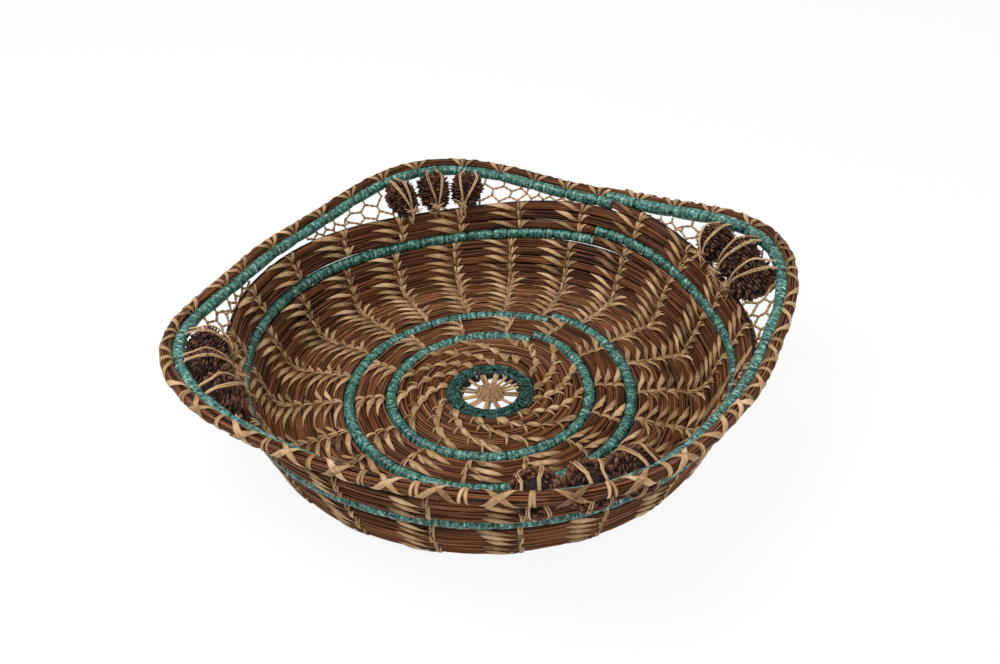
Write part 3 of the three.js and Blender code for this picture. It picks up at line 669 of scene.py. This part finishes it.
rng = np.random.default_rng(seed=16)
strips = []
for column in range(WALL_COLUMNS):
    angle = FIRST_COLUMN + math.tau * column / WALL_COLUMNS
    for row in (*WALL_ROWS, *BAND_ROWS):
        turn = at_angle(row, angle + OUTSIDE_SHIFT + rng.normal(0, 0.005))
        lift = 0.02 if row < FREE_ROW else 0.2
        for drift in OUTSIDE_SPINE:
            strips.append(stitch(rng, turn, drift + rng.normal(0, 0.3), lift=lift, **OUTSIDE_STITCH))
        width = 1.8 if row < BROAD_ROW else 2.6
        strips.append(stitch(rng, turn, rng.uniform(*OUTSIDE_REACHES), width, lift=lift, **OUTSIDE_LEAF))
        if row in BAND_ROWS:
            turn = at_angle(row, angle + BAND_SHIFT + rng.normal(0, 0.005))
            strips += spine(rng, turn, BAND_SPINE, (0.8, 1.1))
            drift = rng.uniform(*BAND_REACHES)
            strips.append(stitch(rng, turn, drift, rng.uniform(*BAND_LEAF_WIDTHS), **BAND_LEAF))
            strips.append(stitch(rng, turn, rng.uniform(*BARB_REACHES), width=1.2, **BACK_BARB))
band_stitches = sewn_mesh("band_and_outside_stitches", strips, NATURAL_RAFFIA)
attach(band_stitches, "root")


# Rim: the coil carries on twice more round a line that bows out to four corners, first wrapped in
# teal raffia and then bare, laid against it. Stitches fan over the bare coil and draw the teal in.
RIM_PITCH, WRAP_STEP_UP, BARE_COIL_SEAT, OFF_CENTRE = 5.35, 3.0, 2.35, (-0.2, 0.9)
CORNER_REACHES, CORNER_LEAN = np.array([27.2, 24.6, 24.2, 25.6]), math.radians(43.5)
CORNER_POWERS = np.array([2.8, 2.8, 2.8, 3.6])
WRAP_TURNS = (0.0, 0.12, 0.4, 0.5, 0.62, 0.7, 0.82, 0.95)
WRAP_RADII = (2.8, 2.4, 2.3, 2.1, 2.1, 2.35, 2.4, 3.0)
WRAP_STRETCH, BARE_STRETCH, RIM_PUFF = (-0.005, 1.0), (1.0001, 2.004), 0.5
RIM_TAPER, RIM_END, RIM_CORE, RIM_EDGE = 110, 0.65, 2.2, 6
SLOW_RIM_WAVER, QUICK_RIM_WAVER = (0.12, 6.4, 0), (0.08, 13.1, 2)
RIM_STITCHES, FIRST_RIM_STITCH, FRONT_SLANT = 38, 0.004, math.radians(28)
STITCH_SEAT, STITCH_REACH, FRONT_REACH = 195, 16.5, 4.0
FAN_STITCH = dict(width=np.linspace(1.4, 3.3, 24), high=-105, lift=-0.05, steps=24)
CROSS_STITCH = dict(width=1.3, high=-105, lift=-0.1, steps=18)
LAST_PLACE = row_place(np.array(float(TOP_ROW)))
RIM_SIDE = [float(x) for x in bowl_profile(LAST_PLACE + RIM_PITCH, math.pi / 4)[:2]]
WALL_CORNER = [float(x) for x in bowl_profile(LAST_PLACE, 0.0)[:2]]
CORNER_BOW = CORNER_REACHES * math.cos(CORNER_LEAN) + WALL_CORNER[0] - RIM_SIDE[0]
CORNER_RISE = CORNER_REACHES * math.sin(CORNER_LEAN) + WALL_CORNER[1] - RIM_SIDE[1]
SIDE_ANGLES = (CORNER_ANGLES + np.append(CORNER_ANGLES[1:], CORNER_ANGLES[0] + math.tau)) / 2
CORNER_LEANS, SIDE_LEANS = np.radians([22, 28, 16, 39]), np.radians([50, 42, 44, 20])


def rim_curve(angle):
    corner = np.cos(2 * np.minimum(np.abs(from_corners(angle)), math.pi / 4)) ** CORNER_POWERS
    off_centre = OFF_CENTRE[0] * np.cos(angle) + OFF_CENTRE[1] * np.sin(angle)
    radius = RIM_SIDE[0] + corner @ CORNER_BOW + off_centre
    return around_axis(angle, radius, RIM_SIDE[1] + corner @ CORNER_RISE)


def rim_angle(turn):
    return SEAM - SEAM_DRIFT * (TOP_ROW + 1) + math.tau * turn


def coil_lean(angle):
    """How far up the teal row's outer face the bare coil lies: high at the back, low at the front."""
    return np.interp(angle, np.concatenate([CORNER_ANGLES, SIDE_ANGLES]),
                     np.concatenate([CORNER_LEANS, SIDE_LEANS]), period=math.tau)


def rim_line(turn):
    """Middle of the rim's coil, wrapped in its first turn and bare in its second."""
    turn = np.asarray(turn, float)
    row = (turn > 1).astype(float)
    angle = rim_angle(turn)
    along = rim_curve(angle + 1e-3) - rim_curve(angle - 1e-3)
    normal = unit(np.stack([along[..., 1], -along[..., 0], 0 * angle], -1))
    up = np.broadcast_to(UPRIGHT, normal.shape)
    size = 1 - (1 - RIM_END) * smooth(turn, 2 - STEP, 2)
    reach = WRAP_STEP_UP * smooth(turn - row, 1 - STEP, 1) + row * (BARE_COIL_SEAT + BUNDLE_EDGE * size)
    reach = reach + waver(turn, *SLOW_RIM_WAVER) + waver(turn, *QUICK_RIM_WAVER)
    lean = coil_lean(angle)[..., None]
    return rim_curve(angle) + (normal * np.cos(lean) + up * np.sin(lean)) * reach[..., None], normal, up


def bare_coil(turn):
    return rim_line(np.maximum(turn, BARE_STRETCH[0]))


rng = np.random.default_rng(seed=17)
stitch_turns = np.maximum(0, np.arange(RIM_STITCHES) + rng.normal(0, 0.08, RIM_STITCHES))
stitch_turns = FIRST_RIM_STITCH + stitch_turns / RIM_STITCHES
wrap_rng = np.random.default_rng(seed=43)
winding = wound_wrap(rim_line, *WRAP_STRETCH, wrap_rng, WRAP_TURNS, WRAP_RADII, stitch_turns, RIM_PUFF)
wrap = sewn_mesh("rim_teal_row", [winding], TEAL_RAFFIA)
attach(wrap, "root")
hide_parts("rim_wrap")

strips = needle_bundle(rim_line, *BARE_STRETCH, rng, thin_end=RIM_TAPER, least=RIM_END,
                       core=RIM_CORE, edge=RIM_EDGE)
rim_needles = sewn_mesh("rim_needle_row", strips, PINE_NEEDLES)
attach(rim_needles, "root")
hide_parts("rim_coil")

strips = []
for turn in stitch_turns + 1:
    seat = STITCH_SEAT + math.degrees(coil_lean(rim_angle(turn)))
    reach = STITCH_REACH - FRONT_REACH * math.sin(rim_angle(turn) - FRONT_SLANT)
    for hand in (-1, 1):
        drift = hand * reach * rng.uniform(0.88, 1.06)
        strips.append(stitch(rng, turn, drift, low=seat, line=bare_coil, **FAN_STITCH))
        drift = hand * rng.uniform(0.4, 2.2)
        strips.append(stitch(rng, turn, drift, low=seat, line=bare_coil, **CROSS_STITCH))
rim_stitches = sewn_mesh("rim_stitches", strips, NATURAL_RAFFIA)
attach(rim_stitches, "root")


# Seed cones: three dry woody cones side by side in each corner, between the wall's top row and the
# rim. Their scales stand in close staggered rows, each with two lips. Raffia ties hold the cones.
CONES, CONE_ANGLES = 3, np.radians([43.0, 131.0, 228.7, 313.5])
CONE_SPACING, CONE_OUT, CONE_FAN, CONE_INWARD, CONE_LOOK = 18.5, 9.8, 0.16, 2.2, 130.0
CONE_STEP = CONE_SPACING / (WALL_CORNER[0] + CONE_OUT)
CONE_GIRTH, CONE_END, CONE_BELLY, CONE_BLUNTNESS = 8.6, 1.6, 1.2, 2.8
ROW_GAP, RIM_GAP = 2.6, 3.1
PITH_INSET, PITH_PAINTED_SHADE, SCALE_ROWS, SCALES_ROUND, SCALE_ROOT = 1.4, 0.06, 9, 15, 2.0
LIP_GROWTH, LIP_LENGTHS = np.array([0.0, 0.5, 0.8, 1.0]), (1.3, 3.5)
LIP_WIDTHS, LIP_THICKNESSES = np.array([0.95, 0.9, 0.6, 0.12]), np.array([0.8, 0.65, 0.45, 0.15])
# Lips go dark at the root and light at the tip: the tips' own colour, and painted shade in the pits.
LIP_SHADES = np.array([0.08, 0.28, 0.56, 0.86])
CONE_STOPS = ((0.0, (22, 13, 10)), (0.35, (70, 44, 33)), (0.7, (106, 71, 53)), (1.0, (146, 106, 82)))

CONE_BROWN, wire, shader = new_finish("cone_brown")
bark = blotches(wire, 600.0, roughness=0.7)
dress(wire, shader, CONE_STOPS, strip_shade(wire) + (bark - 0.5) * 1.4, roughness=bark * 0.3 + 0.62,
      gloss=0.2, height=bark, strength=0.8, depth=0.0006)


def top_row(angle):
    return coil_line(at_angle(TOP_ROW, np.asarray(angle)))[0]


def seats(low_angle, high_angle, low_gap=ROW_GAP, high_gap=RIM_GAP):
    """Where a piece tied between the wall's top row and the rim starts and ends."""
    low, high = top_row(low_angle), rim_curve(np.asarray(high_angle))
    along = unit(high - low)
    return low + along * low_gap, high - along * high_gap


def cone_place(corner, cone):
    """Ends of a cone, and its directions: along it, to its side and out of its face into the bowl."""
    middle, offset = CONE_ANGLES[corner], (cone - 1) * CONE_STEP
    low, high = seats(middle + offset * (1 - CONE_FAN), middle + offset * (1 + CONE_FAN))
    along = unit(high - low)
    side = unit(np.cross(along, [-low[0], -low[1], CONE_LOOK]))
    face = np.cross(side, along)
    return low + face * CONE_INWARD, high + face * CONE_INWARD, along, side, face


def cone_girth(share):
    fullness = np.maximum(0, 1 - np.abs(2 * share ** CONE_BELLY - 1) ** CONE_BLUNTNESS)
    return CONE_END + (CONE_GIRTH - CONE_END) * np.sqrt(fullness)


for corner in range(len(CONE_ANGLES)):
    for cone in range(CONES):
        rng = np.random.default_rng(seed=200 + CONES * corner + cone)
        low, high, along, side, face = cone_place(corner, cone)
        length = np.linalg.norm(high - low)
        share = np.linspace(0, 1, 15)
        turned = np.arange(16) * math.pi / 8
        # The pith is near black: painted shade for the gaps between the scales.
        reach = np.maximum(cone_girth(share) - PITH_INSET, 0.5)[:, None]
        round_about = side * np.cos(turned)[:, None] + face * np.sin(turned)[:, None]
        pith = low + along * (share * length)[:, None, None] + round_about * reach[..., None]
        strips = [(pith, PITH_PAINTED_SHADE)]
        for row in range(SCALE_ROWS):
            for scale in range(SCALES_ROUND):
                share = np.clip((row + 0.5 + rng.normal(0, 0.18)) / SCALE_ROWS, 0.03, 0.97)
                turn = math.tau * (scale + 0.5 * (row % 2) + rng.normal(0, 0.2)) / SCALES_ROUND
                radial = side * math.cos(turn) + face * math.sin(turn)
                slope = (cone_girth(share + 0.02) - cone_girth(share - 0.02)) / (0.04 * length)
                out, upward = unit(radial - along * slope), unit(along + radial * slope)
                root = low + along * share * length + radial * cone_girth(share) - out * SCALE_ROOT
                wide = math.tau * cone_girth(share) / SCALES_ROUND
                tint = rng.normal(0, 0.12)
                for lip in (-1, 1):
                    bent = (0.6 * (share - 0.5) + rng.normal(0, 0.3)) * LIP_GROWTH
                    bent = lip * (0.25 + 0.45 * LIP_GROWTH) + bent
                    points = root + out * (LIP_GROWTH * rng.uniform(*LIP_LENGTHS))[:, None]
                    points = points + upward * bent[:, None]
                    points = points + np.cross(along, radial) * (rng.normal(0, 0.3) * LIP_GROWTH)[:, None]
                    rings = ribbon(points, upward * lip, wide * LIP_WIDTHS, LIP_THICKNESSES)
                    strips.append((rings, np.clip(LIP_SHADES + tint, 0, 1)))
        seed_cone = sewn_mesh(f"seed_cone_{corner + 1}_{cone + 1}_scales", strips, CONE_BROWN)
        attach(seed_cone, "root")
        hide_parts(f"seed_cone_{corner + 1}_{cone + 1}")


# Cone ties: two double strands of undyed raffia over each face of a cone, from the rim down to the
# wall's top row, drawn together there in a knot with its many ends left on.
STRAPS, STRAP_TWIN = ((0.5, 0.31), (0.5, 0.66), (-0.5, -0.33), (-0.5, -0.68)), 0.022
STRAP_REACH, STRAP_CLEARANCE, STRAP_RADII, STRAP_SHADES = 4.4, 0.65, (0.3, 0.42), (0.5, 0.85)
ROW_TUCK, RIM_TUCK, TUCK_LENGTH = 2.3, 1.0, 0.15
KNOT_DROP, TIE_LOOPS, TIE_LOOP_REACH, TIE_LOOP_SHADES = 0.8, 5, 1.9, (0.4, 0.75)
TIE_LOOP_GIRTHS = np.array([0.3, 0.8, 1.0, 0.8, 0.3])
TAILS, TAIL_LENGTHS, TAIL_RADIUS, TAIL_THINNING, TAIL_BOW = 10, (3.5, 6.5), 0.5, 0.28, 0.8
ROW_LOOP = dict(width=1.1, low=215, high=-60, lift=0.2, steps=14)


def knot_loop(rng, middle, half_length, girths, shades):
    """One turn of a knot: a short fat strand through its middle, lying any way."""
    points = middle + unit(rng.normal(0, 1, 3)) * np.linspace(-half_length, half_length, 5)[:, None]
    return cord_rings(points, girths), rng.uniform(*shades)


strips = []
for corner in range(len(CONE_ANGLES)):
    for cone in range(CONES):
        rng = np.random.default_rng(seed=300 + CONES * corner + cone)
        low, high, along, side, face = cone_place(corner, cone)
        share = np.linspace(-TUCK_LENGTH, 1 + TUCK_LENGTH, 19)
        inside = np.clip(share, 0, 1)
        to_row = smooth(-share, 0, TUCK_LENGTH)[:, None]
        to_rim = smooth(share, 1, 1 + TUCK_LENGTH)[:, None]
        for middle, strap in STRAPS:
            strap = strap + rng.normal(0, 0.04)
            row_seat = low - along * ROW_GAP + face * (2 * middle * ROW_TUCK - CONE_INWARD)
            rim_seat = high + along * RIM_GAP + face * (2 * middle * RIM_TUCK - CONE_INWARD)
            for twin in (-STRAP_TWIN, STRAP_TWIN):
                angle = (math.pi * (middle + (strap - middle + twin) * (0.15 + 0.85 * inside)))[:, None]
                reach = (np.maximum(cone_girth(inside), STRAP_REACH) + STRAP_CLEARANCE)[:, None]
                aside = side * np.cos(angle) * reach
                points = low + (high - low) * share[:, None] + aside + face * np.sin(angle) * reach
                points = points + (row_seat + aside - points) * to_row
                points = points + (rim_seat + aside - points) * to_rim
                strips.append((cord_rings(points, rng.uniform(*STRAP_RADII)), rng.uniform(*STRAP_SHADES)))
        knot = low + face * STRAP_REACH - along * KNOT_DROP
        for loop in range(TIE_LOOPS):
            strips.append(knot_loop(rng, knot, TIE_LOOP_REACH, TIE_LOOP_GIRTHS, TIE_LOOP_SHADES))
        share = np.linspace(0, 1, 6)[:, None]
        for tail in range(TAILS):
            heading = side * rng.uniform(-1, 1) + face * rng.uniform(0, 0.6)
            heading = unit(heading - along * rng.uniform(-0.5, 0.9))
            points = knot + heading * share * rng.uniform(*TAIL_LENGTHS)
            points = points + face * TAIL_BOW * np.sin(math.pi * share)
            rings = cord_rings(points, TAIL_RADIUS - TAIL_THINNING * share[:, 0], 4)
            strips.append((rings, rng.uniform(0.4, 0.8)))
        turn = at_angle(TOP_ROW, math.atan2(low[1], low[0]))
        for loop in range(2):
            strips.append(stitch(rng, turn + rng.normal(0, 1) / 720, rng.normal(0, 1.5), **ROW_LOOP))
cone_ties = sewn_mesh("cone_ties", strips, NATURAL_RAFFIA)
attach(cone_ties, "root")


# Corner nets: raffia twisted and knotted into an open net of six-sided cells beside each set of
# cones, tied down to the wall's top row and up to the rim, and finer as the two come together.
NET_STRAND, NET_SHADES, TWIST_RADIUS, TWIST_RATE, TWIST_STEP = 0.43, (0.45, 0.75), 0.3, 1.1, 0.9
NET_START, NET_END, NET_FAN = CONE_STEP * (1.5 - CONE_FAN), math.radians(38), CONE_STEP * 2 * CONE_FAN
NET_LEAST_GAP, TWO_CELL_GAP, NET_ROW_GAP, NET_RIM_GAP = 2.2, 10.5, 1.0, 1.5
WIDE_KNOTS, CLOSE_KNOTS, LOW_KNOT, HIGH_KNOT = (0.2, 0.8), (0.4, 0.6), 0.36, 0.64
CELL_SHARE, LEAST_CELL, WIDEST_CELL = 0.36, 3.4, 5.2
NET_LOOPS, NET_LOOP_REACH, NET_LOOP_SHADES = 2, 0.8, (0.25, 0.5)
NET_LOOP_GIRTHS = np.array([0.2, 0.65, 0.8, 0.65, 0.2])


def twisted(points, rng):
    """Two strands twisted together through the given points."""
    run = length_along(points)
    fine = np.linspace(0, run[-1], max(int(run[-1] / TWIST_STEP), 4))
    middle = np.stack([np.interp(fine, run, points[:, axis]) for axis in range(3)], -1)
    side, face = strand_sides(middle)
    start = rng.uniform(0, 6)
    made = []
    for twin in (0, math.pi):
        turn = start + twin + fine * TWIST_RATE
        strand = middle + TWIST_RADIUS * (side * np.cos(turn)[:, None] + face * np.sin(turn)[:, None])
        made.append((cord_rings(strand, NET_STRAND, 4), rng.uniform(*NET_SHADES)))
    return made


for corner, middle in enumerate(CONE_ANGLES):
    for hand, label in ((1, "right"), (-1, "left")):
        rng = np.random.default_rng(seed=400 + 2 * corner + hand)
        lower, upper, ties = [], [], []
        place, gap = NET_START, TWO_CELL_GAP
        while place < NET_END and gap > NET_LEAST_GAP:
            fan = NET_FAN * (NET_END - place) / (NET_END - NET_START)
            low, high = seats(middle + hand * place, middle + hand * (place + fan), NET_ROW_GAP, NET_RIM_GAP)
            gap = np.linalg.norm(high - low)
            apart = len(lower) % 2 == 0
            if gap > TWO_CELL_GAP:
                first, second = WIDE_KNOTS if apart else CLOSE_KNOTS
                lower.append(low + (high - low) * first + rng.normal(0, 0.35, 3))
                upper.append(low + (high - low) * second + rng.normal(0, 0.35, 3))
                ties += [(lower[-1], low), (upper[-1], high)] if apart else [(lower[-1], upper[-1])]
            else:
                lower.append(low + (high - low) * (LOW_KNOT if apart else HIGH_KNOT) + rng.normal(0, 0.2, 3))
                ties.append((lower[-1], low if apart else high))
            place += np.clip(CELL_SHARE * gap, LEAST_CELL, WIDEST_CELL) / np.linalg.norm(low[:2])
        ties.append((upper[-1], lower[len(upper)]))
        strips = []
        for path in (lower, upper, *ties):
            strips += twisted(np.stack(path), rng)
        for knot in lower + upper:
            for loop in range(NET_LOOPS):
                strips.append(knot_loop(rng, knot, NET_LOOP_REACH, NET_LOOP_GIRTHS, NET_LOOP_SHADES))
        net = sewn_mesh(f"knotted_net_{corner + 1}_{label}", strips, NATURAL_RAFFIA)
        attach(net, "root")
        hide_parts(f"corner_net_{corner + 1}_{label}")


# Stage: a plain pale floor with a white surround, under soft studio light from a large lamp over the
# left shoulder and a weaker one at the right.
WHITE, FLOOR_GREY, FLOOR_WHITENESS = (1, 1, 1, 1), (0.86, 0.86, 0.86, 1), 0.9
FLOOR_SIZE, FLOOR_LEVEL, FLOOR_ROUGHNESS = 6, -0.0003, 0.9
LAMPS = (("key", (-0.45, -0.35, 1.15), 0.7, 13), ("fill", (0.9, -0.5, 0.9), 0.9, 6))
LAMP_AIM = Vector((0, 0, 0.03))


def surround_shows(wire):
    """1 where a ray shows the surround itself, straight or by way of metal or glass."""
    camera, glossy, through = (wire.node("LightPath", out=f"Is {kind} Ray")
                               for kind in ("Camera", "Glossy", "Transmission"))
    return camera + glossy + through


bpy.ops.object.select_all(action="DESELECT")
bpy.ops.mesh.primitive_plane_add(size=FLOOR_SIZE, location=(0, 0, FLOOR_LEVEL))
floor = bpy.context.active_object
floor.name = "studio_floor"
FLOOR_WHITE, wire, shader = new_finish("floor_white")
shader.inputs["Base Color"].default_value = FLOOR_GREY
shader.inputs["Roughness"].default_value = FLOOR_ROUGHNESS
glow = wire.node("Emission", sockets={"Color": WHITE, "Strength": 1.0})
surface = wire.node("MixShader", sockets={
    0: surround_shows(wire) * FLOOR_WHITENESS, 1: Wire(wire.tree, shader.outputs[0]), 2: glow})
surface.feed(FLOOR_WHITE.node_tree.nodes["Material Output"].inputs["Surface"])
floor.data.materials.append(FLOOR_WHITE)
floor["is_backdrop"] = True

world = bpy.data.worlds.new("studio")
bpy.context.scene.world = world
world.use_nodes = True
wire = Wire(world.node_tree)
soft = wire.node("Background", sockets={"Color": WHITE, "Strength": 0.5})
white = wire.node("Background", sockets={"Color": WHITE, "Strength": 1.0})
surface = wire.node("MixShader", sockets={0: surround_shows(wire), 1: soft, 2: white})
surface.feed(world.node_tree.nodes["World Output"].inputs["Surface"])

for name, place, size, power in LAMPS:
    bpy.ops.object.light_add(type="AREA", location=place)
    lamp = bpy.context.active_object
    lamp.name = name
    lamp.data.size, lamp.data.energy = size, power
    lamp.rotation_mode = "QUATERNION"
    lamp.rotation_quaternion = (LAMP_AIM - Vector(place)).to_track_quat("-Z", "Y")


# Camera: the photograph's own viewpoint, above one side of the bowl, aimed at its middle and then
# panned, tipped and rolled a little to the photograph's frame.
EYE, AIM = Vector((169.5, -317.7, 278.7)) * MM, Vector((0, 0, 0.0006))
HEADING, PAN, TIP, ROLL = (math.radians(angle) for angle in (28.08, -0.70, 3.89, 2.0))
SENSOR_WIDTH, LENS, NEAREST, FARTHEST = 36.0, 34.2, 0.01, 20

right = Vector((math.cos(HEADING), math.sin(HEADING), 0))
forward = (AIM - EYE).normalized()
upward = right.cross(forward)
pan = Matrix.Rotation(PAN, 3, upward)
forward, right = pan @ forward, pan @ right
tip = Matrix.Rotation(TIP, 3, right)
forward, upward = tip @ forward, tip @ upward
roll = Matrix.Rotation(ROLL, 3, forward)
right, upward = roll @ right, roll @ upward
bpy.ops.object.camera_add(location=EYE)
camera = bpy.context.active_object
turned = Matrix((right, upward, -forward)).transposed()
camera.matrix_world = Matrix.Translation(EYE) @ turned.to_4x4()
camera.data.sensor_width, camera.data.lens = SENSOR_WIDTH, LENS
camera.data.clip_start, camera.data.clip_end = NEAREST, FARTHEST
bpy.context.scene.camera = camera
bpy.context.scene.view_settings.view_transform = "Standard"

low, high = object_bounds()
